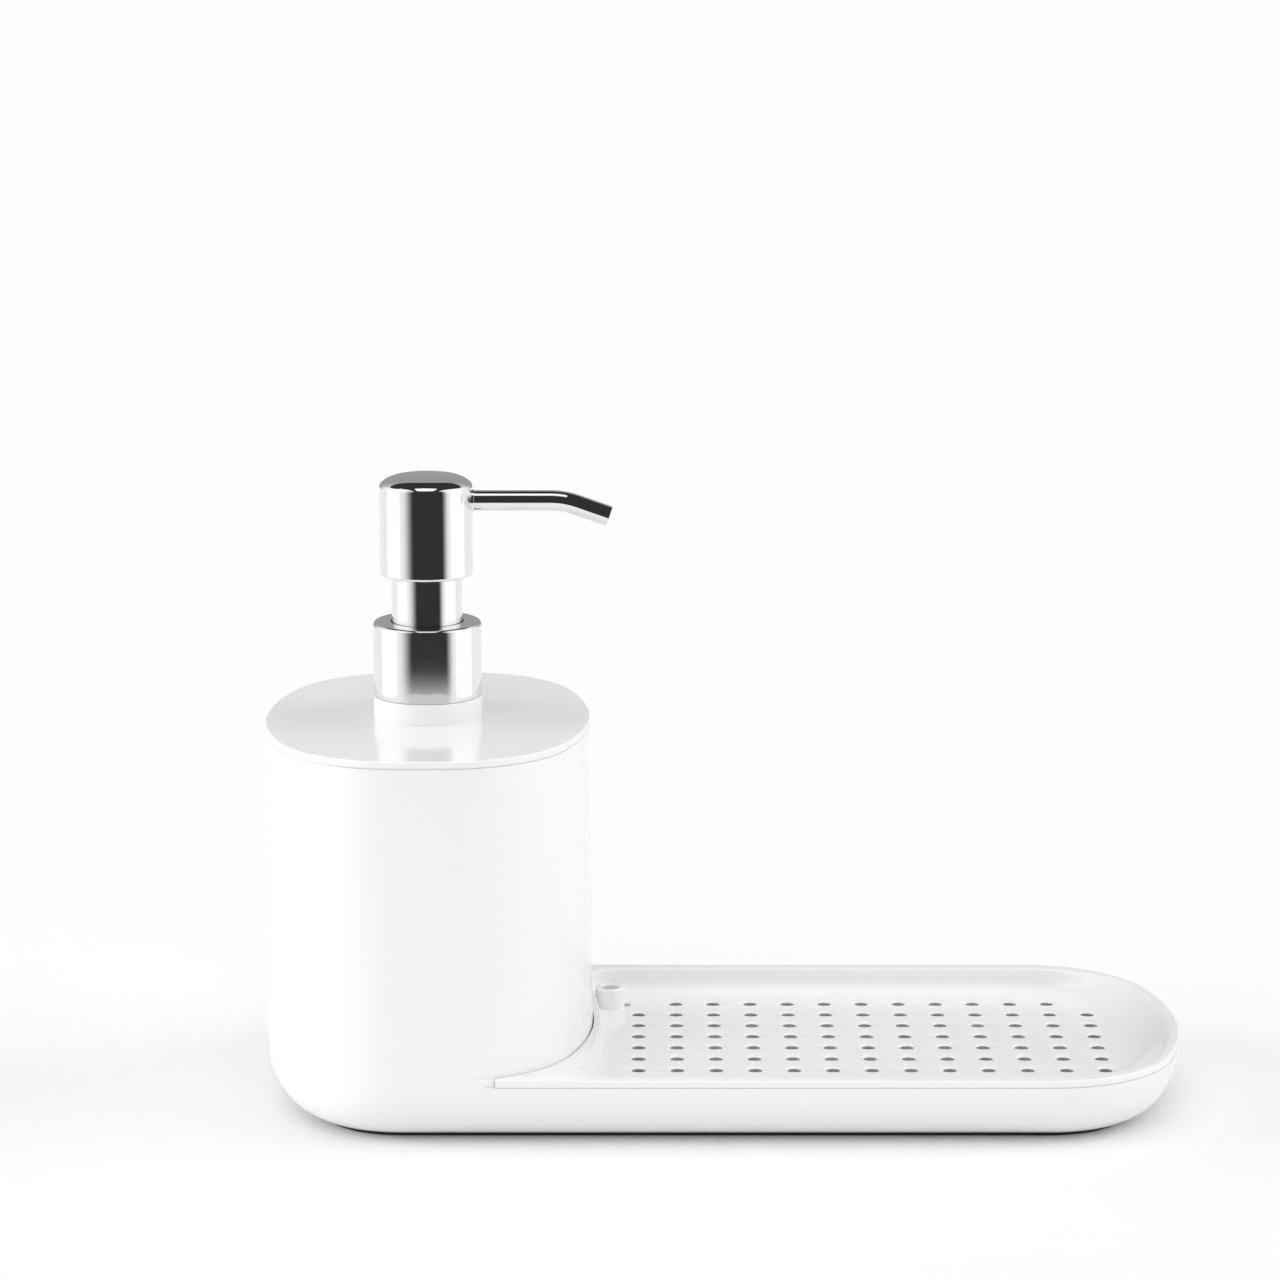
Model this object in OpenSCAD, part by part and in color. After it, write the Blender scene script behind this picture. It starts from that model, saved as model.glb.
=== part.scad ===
// Soap pump caddy: a one-piece moulded bottle and bowl, a perforated drain tray and a pump.
// The long way of the bowl runs along X, the bottle stands at its left end, Z is up.
// The origin lies on the table under the middle of the bowl.

/* [Caddy] */
// Length of the bowl, outside
base_len = 238; // [200:1:300]
// Depth of the bowl and of the bottle, outside
base_depth = 106.8; // [100:0.2:116]
// Height of the rim over the table
rim_z = 18; // [16.5:0.5:24]
// Width of the bottle, which is also the width of one end
bottle_w = 84.8; // [80:0.2:92]
// Height of the top plate over the table
bottle_h = 100; // [92:1:130]
// Radius of the two ends in plan
end_r = 92; // [80:1:140]
// Straight stretch of the bottle's front between its rounded corners
flat_w = 11.5; // [8:0.5:24]
// Radius of the lower edge
base_round = 13; // [8:0.5:14]
// Wall of the moulding
wall = 2.4; // [1.8:0.1:3]
// Floor of the moulding
floor_t = 2.4; // [1.8:0.1:3]
// Inner radius along the reservoir floor
floor_round = 7; // [3:0.5:9]
// Lean of the bottle wall for each unit of height
draft_share = 0.008; // [0:0.001:0.012]

/* [Feet] */
// Height of the pads that lift the base
foot_h = 1; // [0.5:0.1:2]
// Radius of a pad
foot_r = 6; // [4:0.5:8]
// Distance of the pads from the ends
foot_end = 32; // [26:1:45]
// Distance of the pads from the centre line
foot_y = 28; // [20:1:34]

/* [Drain tray] */
// Thickness of the rim plate
rim_t = 1.95; // [1.5:0.05:2.5]
// Width of the flat rim
rim_w = 4.6; // [4.4:0.1:7]
// Radius of the rim's outer edge
rim_edge = 0.6; // [0.2:0.1:1]
// Radius of the rim's edge over the basin
basin_edge = 0.5; // [0.2:0.1:0.8]
// Depth of the basin under the rim
basin_d = 5.6; // [4:0.1:7]
// Wall of the basin
basin_t = 1.5; // [1.2:0.1:1.6]
// Inner radius along the floor of the basin
basin_round = 3.4; // [1.5:0.1:4]
// Gap between the tray and the bottle's side
tray_gap = 0.32; // [0.3:0.02:0.9]
// Gap beside the bottle's front and back, and at the rim's tips
tip_gap = 0.16; // [0.14:0.02:0.3]
// Height of the shadow line under the rim and under the top plate
seam_h = 0.25; // [0.1:0.05:0.5]
// Depth of that line
seam_in = 0.35; // [0.2:0.05:0.6]
// Depth of the finger notch at each tip of the rim
notch_in = 0.9; // [0.4:0.1:1.2]
// Radius of the finger notch
notch_r = 6.5; // [4:0.5:8]
// Width of the lip beside the bottle
lip_w = 2.1; // [2:0.1:5]
// Radius of the bowed side of the basin
bow_r = 175; // [140:5:260]
// Radius of the two corners beside the bottle
basin_corner = 8.5; // [8:0.5:11]
// Spacing of the holes
hole_pitch = 10; // [9:0.25:11]
// Radius of a hole
hole_r = 2.3; // [1.5:0.1:3]
// Bevel round the top of a hole
hole_bevel = 0.35; // [0.1:0.05:0.5]
// Distance of the first column from the bottle
hole_start = 12; // [11.5:0.1:14]
// Least distance of the last column from the rim's inner edge
hole_end = 16; // [15:0.5:30]
// Least distance of the outer rows from the rim's inner edge
hole_side = 13; // [12:0.5:30]
// Outer radius of the hollow grip post
post_r = 4; // [3.5:0.1:5]
// Bore radius of the grip post
post_bore_r = 2.5; // [2:0.1:2.8]
// Bevel on the two edges of its top
post_bevel = 0.4; // [0.1:0.1:0.6]
// Distance of the post from the bottle's side
post_out = 4.3; // [3.8:0.1:5]
// Distance of the post from the centre line
post_y = 32.4; // [28:0.2:33]
// Radius of the drip hole beside the post
drip_r = 1.4; // [0.8:0.1:1.6]

/* [Top plate] */
// Thickness of the top plate
lid_t = 2; // [1.5:0.1:3]
// Bevel along its upper edge
lid_bevel = 0.3; // [0.1:0.05:0.6]
// Depth of the skirt under the plate
skirt_h = 6; // [5:0.5:10]
// Wall of the skirt
skirt_t = 2; // [1.8:0.1:3]
// Play between the skirt and the wall
skirt_gap = 0.3; // [0.2:0.05:0.5]
// Height of the sealing ring
seal_h = 1.6; // [1.2:0.1:2.4]
// Depth of the groove for the sealing ring
seal_in = 0.9; // [0.6:0.1:1.2]
// Height of the round boss under the collar
boss_h = 5.7; // [4:0.1:9]
// Radius of the threaded neck over its root
neck_r = 10.7; // [10.4:0.1:11]
// Height of the neck over the boss
neck_h = 12.4; // [10:0.2:16]
// Bore radius of the neck
neck_bore_r = 7.8; // [7.2:0.1:8.2]

/* [Collar] */
// Outer radius of the collar
collar_r = 14; // [13.6:0.1:15]
// Height of the collar
collar_h = 19.2; // [18.9:0.1:22]
// Wall of the bright collar
collar_t = 0.6; // [0.4:0.05:0.8]
// Radius of its upper edge
collar_round = 1.1; // [0.6:0.1:1.6]
// Outer radius of the guide sleeve
sleeve_r = 9.1; // [8.9:0.1:9.6]
// Length of the sleeve that shows under the head
sleeve_show = 12.3; // [10:0.1:15]
// Wall of the sleeve
sleeve_t = 0.5; // [0.4:0.05:0.7]
// Top of the sleeve inside the head
sleeve_hide = 2.9; // [2:0.1:4]

/* [Head] */
// Outer radius of the head
head_r = 12; // [11.6:0.1:13]
// Height of the straight side of the head
head_h = 23.2; // [22:0.1:28]
// Rise of the domed top
dome_h = 3.1; // [1.5:0.1:4]
// Radius of the edge between the side and the dome
dome_edge = 0.9; // [0.4:0.1:1.4]
// Wall of the head
head_t = 0.65; // [0.4:0.05:0.8]
// Bevel on the lower edge of the head
head_bevel = 0.35; // [0.1:0.05:0.4]
// Stroke of the pump
stroke = 11; // [8:0.5:11]

/* [Spout] */
// Outer radius of the spout
spout_r = 2.65; // [2.4:0.05:2.9]
// Wall of the spout
spout_t = 0.45; // [0.3:0.05:0.6]
// Wall of the plastic lining
liner_t = 0.5; // [0.4:0.05:0.7]
// Height of the spout's axis over the lower edge of the head
spout_up = 19; // [18:0.1:21]
// Distance from the pump's axis to the bend
spout_run = 33.4; // [28:0.2:50]
// Radius of the bend
spout_bend_r = 11; // [8:0.5:20]
// Angle of the bend
spout_angle = 19.5; // [10:0.5:40]
// Length of the spout past the bend
spout_end = 10.4; // [6:0.2:20]
// Outer radius of the ring where the spout leaves the head
ferrule_r = 3.1; // [3:0.05:3.4]

/* [Pump] */
// Outer radius of the pump cylinder
barrel_r = 6.6; // [6.2:0.1:7]
// Bore radius of the pump cylinder
bore_r = 5.3; // [5:0.1:5.6]
// Length of the pump cylinder under its flange
barrel_len = 55; // [50:1:58]
// Thickness of the flange and of the gasket
flange_t = 1.3; // [1:0.1:1.6]
// Radius of the flange
flange_r = 10.4; // [10:0.1:10.6]
// Outer radius of the hollow stem
stem_r = 3.2; // [3:0.1:3.4]
// Bore radius of the stem
stem_bore_r = 1.3; // [1:0.1:1.5]
// Radius of the inlet ball
ball_r = 2.4; // [2.2:0.1:2.5]
// Lift of the inlet ball
ball_lift = 1.5; // [0.8:0.1:2]
// Radius of the outlet ball
top_ball_r = 1.7; // [1.5:0.05:1.8]
// Lift of the outlet ball
top_ball_lift = 1.2; // [0.6:0.1:1.5]
// Outer radius of the dip tube
dip_r = 3; // [2.6:0.1:3.2]
// Bore radius of the dip tube
dip_bore_r = 2; // [1.6:0.1:2.2]
// Wire radius of the return spring
wire_r = 0.45; // [0.3:0.05:0.5]
// Turns of the return spring
spring_turns = 9; // [6:1:10]

/* [Hidden] */
$fn = 72;

// One overrun for every cut, a close fit inside one piece and a running gap
over = 1;
fit = 0.05;
run = 0.3;
swell = 0.01;

// Plan of the bowl: two corner arcs and an end arc at each end
half_len = base_len / 2;
half_depth = base_depth / 2;
half_w = bottle_w / 2;
pump_x = half_w - half_len;
far_x = half_len - half_w;
arc_x = half_w - end_r;
corner_x = flat_w / 2;
flank = half_w - corner_x;
// The corner arc touches the end arc and the straight side
corner_r = (2 * end_r * flank - pow(half_depth, 2) - pow(flank, 2)) / (2 * (end_r - half_depth));
corner_y = half_depth - corner_r;
arc_a = atan2(corner_y, corner_x - arc_x);
// Steps along the arcs of the outlines and round their lower edges
end_steps = 5;
corner_steps = 11;
bend_steps = 9;
bow_steps = 5;
round_n = 8;
basin_n = 5;
edge_n = 3;

// Levels of the moulding
ledge_z = rim_z - rim_t;
inside_z = foot_h + floor_t;
plate_z = bottle_h - lid_t;
lean = (plate_z - rim_z) * draft_share;
// Place of the rim's two tips along the bottle
tip_x = 18.3;

// Basin of the tray, placed from the pump's axis
basin_z = rim_z - basin_d;
under_round = min(basin_round, basin_d - rim_t) + basin_t;
basin_x = half_w + lip_w;
bow_x = basin_x - bow_r;
basin_y = half_depth - rim_w;
bcorner_y = basin_y - basin_corner;
bcorner_x = bow_x + sqrt(pow(bow_r + basin_corner, 2) - pow(bcorner_y, 2));
bow_a = asin(bcorner_y / (bow_r + basin_corner));
hole_x = half_w + hole_start;
hole_cols = 1 + floor((base_len - half_w - rim_w - hole_end - hole_x) / hole_pitch);
hole_rows = 2 * floor((basin_y - hole_side) / hole_pitch + 1 / 2);
post_x = half_w + post_out;
post_top = rim_z - 0.03 * basin_d;
drip_x = post_x + post_r + drip_r * 0.1;
drip_y = post_y + drip_r * 0.5;

// Levels of the pump
boss_z = bottle_h + boss_h;
neck_z = boss_z + neck_h;
gasket_z = neck_z;
flange_z = gasket_z + flange_t;
chaplet_z = flange_z + flange_t;
cap_z = chaplet_z + flange_t;
collar_z = boss_z + fit;
collar_top = collar_z + collar_h;
head_z = collar_top + sleeve_show;
sleeve_top = head_z + sleeve_hide;
guide_h = 0.4 * (sleeve_top - chaplet_z);
neck_skirt = 8;
barrel_z = chaplet_z - barrel_len;
chamber_r = ball_r + 2 * run;
seat_r = 0.75 * ball_r;
seat_z = barrel_z - 2 * flange_t;
ball_z = seat_z + sqrt(pow(ball_r + fit, 2) - pow(seat_r, 2));
chamber_z = ball_z + ball_r + ball_lift;
lip_r = 0.85 * ball_r;
spring_z = chamber_z + 0.8 * flange_t;
spring_r = bore_r - run - wire_r - 2 * fit;
spring_top = spring_z + 2.05 * stroke;
piston_z = spring_top + flange_t;
piston_h = 4.2 * flange_t;
dip_top = seat_z - flange_t;
dip_z = inside_z + 1.6 * flange_t;
socket_len = 11;
socket_t = 1.3 * flange_t;

// Levels of the head
dome_z = head_z + head_h;
core_z = sleeve_top + stroke + 2 * run;
socket_z = core_z - socket_len;
socket_r = stem_r + 1.2 * flange_t;
stem_top = core_z - fit;
spout_z = head_z + spout_up;
top_seat_z = stem_top - 2 * top_ball_r - top_ball_lift - fit;
top_chamber_r = top_ball_r + 0.5 * run;
top_ball_z = top_seat_z + sqrt(pow(top_ball_r + fit, 2) - pow(stem_bore_r, 2));
core_r = head_r - head_t - fit;
ring_x = head_r - 2 * head_t;
dome_r = (pow(head_r, 2) + pow(dome_h, 2)) / (2 * dome_h);
dome_mid = dome_z + dome_h - dome_r;
edge_z = dome_mid + sqrt(pow(dome_r - dome_edge, 2) - pow(head_r - dome_edge, 2));
edge_a = atan2(edge_z - dome_mid, head_r - dome_edge);

// Quarter of the plan, from the long axis round to the side; grow moves it outwards
function quarter(grow) = concat(
    [for (i = [0 : end_steps]) let (a = arc_a * i / end_steps)
        [arc_x + (end_r + grow) * cos(a), (end_r + grow) * sin(a)]],
    [for (i = [1 : corner_steps]) let (a = arc_a + (90 - arc_a) * i / corner_steps)
        [corner_x + (corner_r + grow) * cos(a), corner_y + (corner_r + grow) * sin(a)]]);

// Closed outline, anticlockwise from its right tip, round the end centres xl and xr
function oval(grow, xl, xr) = let (q = quarter(grow), n = len(q)) concat(
    [for (p = q) [xr + p[0], p[1]]],
    [for (i = [n - 1 : -1 : 0]) [xl - q[i][0], q[i][1]]],
    [for (i = [1 : n - 1]) [xl - q[i][0], -q[i][1]]],
    [for (i = [n - 1 : -1 : 1]) [xr + q[i][0], -q[i][1]]]);
function bowl_plan(grow) = oval(grow, pump_x, far_x);
function bottle_plan(grow) = oval(grow, pump_x, pump_x);

// Upper half of the basin's plan: right end, side, corner and the bowed side by the bottle
function basin_half(grow) = concat(
    [for (p = quarter(grow - rim_w)) [far_x + p[0], p[1]]],
    [for (i = [0 : bend_steps]) let (a = 90 + (90 + bow_a) * i / bend_steps)
        [pump_x + bcorner_x + (basin_corner + grow) * cos(a), bcorner_y + (basin_corner + grow) * sin(a)]],
    [for (i = [1 : bow_steps]) let (a = bow_a * (1 - i / bow_steps))
        [pump_x + bow_x + (bow_r - grow) * cos(a), (bow_r - grow) * sin(a)]]);
function basin_plan(grow) = let (h = basin_half(grow), n = len(h)) concat(h,
    [for (i = [n - 2 : -1 : 1]) [h[i][0], -h[i][1]]]);

// Levels and growth of a rounded lower edge that starts at z0
function round_steps(z0, r, steps) = [for (i = [0 : steps]) let (a = 90 * i / steps)
    [r * (sin(a) - 1), z0 + r * (1 - cos(a))]];

// Levels and growth of a rounded upper edge that ends at z1: side is -1 outside and 1 round a hollow
function edge_steps(z1, r, side) = [for (i = [0 : edge_n]) let (a = 90 * i / edge_n)
    [side * r * (1 - cos(a)), z1 - r * (1 - sin(a))]];

// Solid through a stack of outlines with the same number of points
module loft(plans, levels) {
    n = len(plans[0]);
    m = len(plans);
    polyhedron([for (k = [0 : m - 1]) for (p = plans[k]) [p[0], p[1], levels[k]]], concat(
        [[for (j = [0 : n - 1]) j]],
        [for (k = [0 : m - 2]) for (j = [0 : n - 1]) let (a = k * n + j, b = k * n + (j + 1) % n)
            [a, a + n, b + n, b]],
        [[for (j = [0 : n - 1]) (m - 1) * n + (n - j) % n]]));
}

// Upright solid on one outline
module prism(plan, z0, z1) {
    translate([0, 0, z0]) linear_extrude(z1 - z0) polygon(plan);
}

// Bowl outside: rounded at the foot, upright as far as the ledge
module base_outside() {
    q = round_steps(foot_h, base_round, round_n);
    loft(concat([for (s = q) bowl_plan(s[0])], [bowl_plan(0)]), concat([for (s = q) s[1]], [ledge_z]));
}

// Hollow of the bowl beside the bottle
module bowl_hollow() {
    q = round_steps(inside_z, base_round - wall, round_n - 2);
    difference() {
        loft(concat([for (s = q) bowl_plan(s[0] - wall)], [bowl_plan(-wall)]),
            concat([for (s = q) s[1]], [rim_z + over]));
        prism(bottle_plan(0), inside_z - over, rim_z + 2 * over);
    }
}

// The rim's outer form from z0 up, with its rounded upper edge
module rim_form(z0) {
    q = edge_steps(rim_z, rim_edge, -1);
    loft(concat([bowl_plan(0)], [for (s = q) bowl_plan(s[0])]), concat([z0], [for (s = q) s[1]]));
}

// Everything of the rim between x0 and x1
module rim_part(x0, x1) {
    intersection() {
        children();
        translate([x0, -base_depth, ledge_z - over]) cube([x1 - x0, 2 * base_depth, rim_t + 2 * over]);
    }
}

// The moulding's own share of the rim, round the foot of the bottle, with a finger notch at each end
module rim_slab() {
    difference() {
        rim_part(-base_len, pump_x + tip_x - tip_gap) rim_form(ledge_z);
        for (side = [-1, 1]) translate([pump_x + tip_x, side * (half_depth + notch_r - notch_in), ledge_z])
            cylinder(r = notch_r, h = rim_t + over);
    }
    prism(bottle_plan(0), ledge_z, rim_z);
}

// Room for the soap
module reservoir() {
    q = round_steps(inside_z, floor_round, round_n - 4);
    top = bottle_h;
    loft(concat([for (s = q) bottle_plan(s[0] - wall)],
            [bottle_plan(-wall), bottle_plan(-wall - (top - rim_z) * draft_share)]),
        concat([for (s = q) s[1]], [rim_z, top]));
}

module body_shell() {
    color("white") difference() {
        union() {
            base_outside();
            rim_slab();
            loft([bottle_plan(0), bottle_plan(-lean)], [rim_z, plate_z]);
        }
        bowl_hollow();
        reservoir();
    }
}

// Closed band between two outlines
module band(outer, inner, z0, z1) {
    translate([0, 0, z0]) linear_extrude(z1 - z0) difference() {
        polygon(bottle_plan(outer));
        polygon(bottle_plan(inner));
    }
}

module top_plate() {
    skirt = -wall - lean - skirt_gap;
    z0 = plate_z - skirt_h;
    z1 = z0 + seal_h;
    z2 = z1 + seal_h;
    color("white") difference() {
        union() {
            loft([bottle_plan(-lean), bottle_plan(-lean), bottle_plan(-lean - lid_bevel)],
                [plate_z + seam_h, bottle_h - lid_bevel, bottle_h]);
            prism(bottle_plan(-lean - seam_in), plate_z, bottle_h - lid_bevel);
            band(skirt, skirt - skirt_t, z0, z1);
            band(skirt - seal_in, skirt - skirt_t, z1, z2);
            band(skirt, skirt - skirt_t, z2, plate_z);
            translate([pump_x, 0, bottle_h]) cylinder(r = collar_r, h = boss_h);
            translate([pump_x, 0, boss_z]) cylinder(r = neck_r, h = neck_h);
        }
        translate([pump_x, 0, plate_z - over]) cylinder(r = neck_bore_r, h = neck_z - plate_z + 2 * over);
    }
}

module plate_seal() {
    z0 = plate_z - skirt_h + seal_h;
    g = -wall - lean - fit;
    color("gainsboro") band(g, g - skirt_gap - seal_in + 2 * fit, z0 + fit, z0 + seal_h - fit);
}

module feet() {
    color("whitesmoke") for (sx = [-1, 1]) for (sy = [-1, 1])
        translate([sx * (half_len - foot_end), sy * foot_y, 0]) cylinder(r = foot_r, h = foot_h);
}

// Underside of the basin
module basin_outside() {
    q = round_steps(basin_z - basin_t, under_round, basin_n);
    loft(concat([for (s = q) basin_plan(basin_t + s[0])], [basin_plan(basin_t)]),
        concat([for (s = q) s[1]], [ledge_z + rim_t / 2]));
}

// Hollow of the basin, rounded along its floor and at the rim
module basin_hollow() {
    q = concat(round_steps(basin_z, basin_round, basin_n), edge_steps(rim_z, basin_edge, 1));
    loft(concat([for (s = q) basin_plan(s[0])], [basin_plan(basin_edge)]),
        concat([for (s = q) s[1]], [rim_z + over]));
}

// Rim plate, cut away round the bottle and set back along its lower edge
module rim_plate() {
    difference() {
        rim_part(pump_x + tip_x, base_len) {
            union() {
                rim_form(ledge_z + seam_h);
                prism(bowl_plan(-seam_in), ledge_z, rim_z - rim_edge);
            }
        }
        translate([tray_gap - tip_gap, 0, 0]) prism(bottle_plan(tip_gap), ledge_z - over, rim_z + over);
    }
}

// Hollow grip post with bevelled edges
module post_outside() {
    cylinder(r = post_r, h = post_top - post_bevel - basin_z + basin_t / 2);
    translate([0, 0, post_top - post_bevel - basin_z + basin_t / 2])
        cylinder(r1 = post_r, r2 = post_r - post_bevel, h = post_bevel);
}

// Through hole with a bevel of size b round its upper edge at z1
module bevelled_hole(r, b, z0, z1) {
    translate([0, 0, z0]) cylinder(r = r, h = z1 - z0);
    translate([0, 0, z1 - b]) cylinder(r1 = r, r2 = r + b, h = b);
    translate([0, 0, z1]) cylinder(r = r + b, h = over);
}

module drain_tray() {
    color("white") difference() {
        union() {
            difference() {
                union() {
                    rim_plate();
                    basin_outside();
                }
                basin_hollow();
            }
            translate([pump_x + post_x, post_y, basin_z - basin_t / 2]) post_outside();
        }
        translate([pump_x + post_x, post_y, 0])
            bevelled_hole(post_bore_r, post_bevel, basin_z - basin_t - over, post_top);
        translate([pump_x + drip_x, drip_y, basin_z - basin_t - over])
            cylinder(r = drip_r, h = basin_t + over + basin_d / 4);
        for (c = [0 : hole_cols - 1]) for (r = [0 : hole_rows - 1])
            if (!((r == 0 || r == hole_rows - 1) && (c == 0 || c == hole_cols - 1)))
                translate([pump_x + hole_x + c * hole_pitch, (r - (hole_rows - 1) / 2) * hole_pitch, 0])
                    bevelled_hole(hole_r, hole_bevel, basin_z - basin_t - over, basin_z, $fn = 32);
    }
}

// Everything from here stands on the pump's axis
module on_axis() {
    translate([pump_x, 0, 0]) children();
}

// Tube between two levels
module tube(r1, r0, z0, z1) {
    difference() {
        translate([0, 0, z0]) cylinder(r = r1, h = z1 - z0);
        translate([0, 0, z0 - over]) cylinder(r = r0, h = z1 - z0 + 2 * over);
    }
}

module collar_shell() {
    r = collar_round;
    color("silver") on_axis() rotate_extrude() difference() {
        union() {
            translate([0, collar_z]) square([collar_r, collar_h - r]);
            translate([0, collar_z]) square([collar_r - r, collar_h]);
            translate([collar_r - r, collar_top - r]) circle(r);
        }
        translate([-over, collar_z - over]) square([collar_r - collar_t + over, collar_h - collar_t + over]);
        translate([-over, collar_z - over]) square([sleeve_r + run + over, collar_h + 2 * over]);
    }
}

module screw_cap() {
    r1 = collar_r - collar_t - fit;
    z1 = collar_top - collar_t - fit;
    color("whitesmoke") on_axis() difference() {
        translate([0, 0, collar_z]) cylinder(r = r1, h = z1 - collar_z);
        translate([0, 0, collar_z - over]) cylinder(r = neck_r + run, h = cap_z + fit - collar_z + over);
        translate([0, 0, collar_z]) cylinder(r = sleeve_r + run, h = collar_h);
    }
}

module neck_gasket() {
    color("lightgray") on_axis() tube(flange_r, barrel_r + run, gasket_z, flange_z);
}

module pump_barrel() {
    color("ivory") on_axis() difference() {
        union() {
            translate([0, 0, flange_z]) cylinder(r = flange_r, h = flange_t);
            translate([0, 0, seat_z]) cylinder(r = barrel_r, h = chaplet_z - seat_z);
            translate([0, 0, dip_top]) cylinder(r1 = dip_r + socket_t, r2 = barrel_r, h = seat_z - dip_top);
            translate([0, 0, dip_top - socket_len]) cylinder(r = dip_r + socket_t, h = socket_len);
        }
        translate([0, 0, spring_z]) cylinder(r = bore_r, h = chaplet_z - spring_z + over);
        translate([0, 0, seat_z]) cylinder(r = chamber_r, h = chamber_z - seat_z);
        translate([0, 0, seat_z - flange_t - over]) cylinder(r = seat_r, h = flange_t + 2 * over);
        translate([0, 0, chamber_z - over]) cylinder(r = lip_r, h = spring_z - chamber_z + 2 * over);
        translate([0, 0, dip_top - socket_len - over]) cylinder(r = dip_r + fit, h = socket_len + over);
    }
}

module chaplet() {
    r1 = sleeve_r - sleeve_t - fit;
    z1 = sleeve_top - sleeve_t - fit;
    color("ivory") on_axis() difference() {
        union() {
            translate([0, 0, chaplet_z]) cylinder(r = flange_r, h = flange_t);
            translate([0, 0, chaplet_z]) cylinder(r = r1, h = z1 - chaplet_z);
            translate([0, 0, chaplet_z - neck_skirt]) cylinder(r = bore_r - fit, h = neck_skirt + flange_t);
        }
        translate([0, 0, chaplet_z - neck_skirt - over])
            cylinder(r = stem_r + run, h = sleeve_top - chaplet_z + neck_skirt + 2 * over);
        translate([0, 0, chaplet_z + guide_h]) cylinder(r = socket_r + 2 * run, h = sleeve_top - chaplet_z);
    }
}

module guide_sleeve() {
    color("silver") on_axis() rotate_extrude() difference() {
        translate([0, cap_z + 2 * fit]) square([sleeve_r, sleeve_top - cap_z - 2 * fit]);
        translate([-over, cap_z - over])
            square([sleeve_r - sleeve_t + over, sleeve_top - sleeve_t - cap_z + over]);
        translate([-over, cap_z - over]) square([socket_r + 2 * run + over, sleeve_top - cap_z + 2 * over]);
    }
}

module dip_tube() {
    color("aliceblue") on_axis() tube(dip_r, dip_bore_r, dip_z, dip_top - fit);
}

module inlet_ball() {
    color("lightgray") on_axis() translate([0, 0, ball_z]) sphere(r = ball_r, $fn = 48);
}

// Coil with its ends at the two spring seats
coil_z0 = spring_z + wire_r + fit;
coil_z1 = spring_top - wire_r - fit;
wire_sides = 6;
wire_steps = 8 * spring_turns;
module return_spring() {
    pts = [for (i = [0 : wire_steps]) let (a = 360 * i / 8, z = coil_z0 + (coil_z1 - coil_z0) * i / wire_steps)
        for (j = [0 : wire_sides - 1]) let (b = 360 * j / wire_sides, r = spring_r + wire_r * cos(b))
            [r * cos(a), r * sin(a), z + wire_r * sin(b)]];
    sides = [for (i = [0 : wire_steps - 1]) for (j = [0 : wire_sides - 1])
        let (k = (j + 1) % wire_sides, p = i * wire_sides)
            each [[p + j, p + k, p + wire_sides + k], [p + j, p + wire_sides + k, p + wire_sides + j]]];
    first = [for (j = [1 : wire_sides - 2]) [0, j + 1, j]];
    last = [for (j = [1 : wire_sides - 2]) let (p = wire_steps * wire_sides) [p, p + j, p + j + 1]];
    color("silver") on_axis() polyhedron(concat(pts), concat(sides, first, last));
}

module stem() {
    color("ivory") on_axis() difference() {
        union() {
            translate([0, 0, spring_top]) cylinder(r = stem_r, h = stem_top - spring_top);
            translate([0, 0, spring_top]) cylinder(r = bore_r - run, h = flange_t);
        }
        translate([0, 0, spring_top - over]) cylinder(r = stem_bore_r, h = stem_top - spring_top + 2 * over);
        translate([0, 0, top_seat_z]) cylinder(r = top_chamber_r, h = stem_top - top_seat_z + over);
    }
}

module piston() {
    color("white") on_axis() tube(bore_r - fit, stem_r + fit, piston_z, piston_z + piston_h);
}

module outlet_ball() {
    color("lightgray") on_axis() translate([0, 0, top_ball_z]) sphere(r = top_ball_r, $fn = 48);
}

// Outline of the head in section: straight side, rounded edge, dome
module head_outline() {
    translate([0, head_z]) square([head_r, edge_z - head_z]);
    translate([head_r - dome_edge, edge_z]) circle(dome_edge);
    intersection() {
        translate([0, dome_mid]) circle(dome_r);
        polygon([[0, edge_z - head_bevel], [head_r - dome_edge, edge_z - head_bevel],
            [head_r - dome_edge, edge_z],
            [head_r - dome_edge + 2 * dome_edge * cos(edge_a), edge_z + 2 * dome_edge * sin(edge_a)],
            [head_r, dome_z + 2 * dome_h], [0, dome_z + 2 * dome_h]]);
    }
}

module head_shell() {
    color("silver") on_axis() difference() {
        rotate_extrude() difference() {
            intersection() {
                head_outline();
                translate([0, head_z]) square([head_r + over, head_h + 2 * dome_h]);
            }
            polygon([[head_r - head_bevel, head_z - over], [head_r + over, head_z - over],
                [head_r + over, head_z + head_bevel], [head_r, head_z + head_bevel], [head_r - head_bevel, head_z]]);
            translate([-over, head_z - over]) square([head_r - head_t + over, head_h - head_t + over]);
        }
        translate([0, 0, spout_z]) rotate([0, 90, 0]) cylinder(r = ferrule_r + fit, h = head_r + over);
    }
}

module head_core() {
    z1 = dome_z - head_t - fit;
    color("whitesmoke") on_axis() difference() {
        union() {
            translate([0, 0, core_z]) cylinder(r = core_r, h = z1 - core_z);
            translate([0, 0, socket_z]) cylinder(r = socket_r, h = socket_len + fit);
        }
        translate([0, 0, socket_z - over]) cylinder(r = stem_r + fit, h = socket_len + over);
        translate([0, 0, socket_z]) cylinder(r = stem_bore_r, h = spout_z - socket_z);
        translate([0, 0, spout_z]) rotate([0, 90, 0]) cylinder(r = stem_bore_r, h = core_r);
        translate([core_r / 2, 0, spout_z]) rotate([0, 90, 0]) cylinder(r = spout_r + fit, h = core_r);
        translate([ring_x - fit, 0, spout_z]) rotate([0, 90, 0]) cylinder(r = ferrule_r + fit, h = core_r);
    }
}

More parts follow.
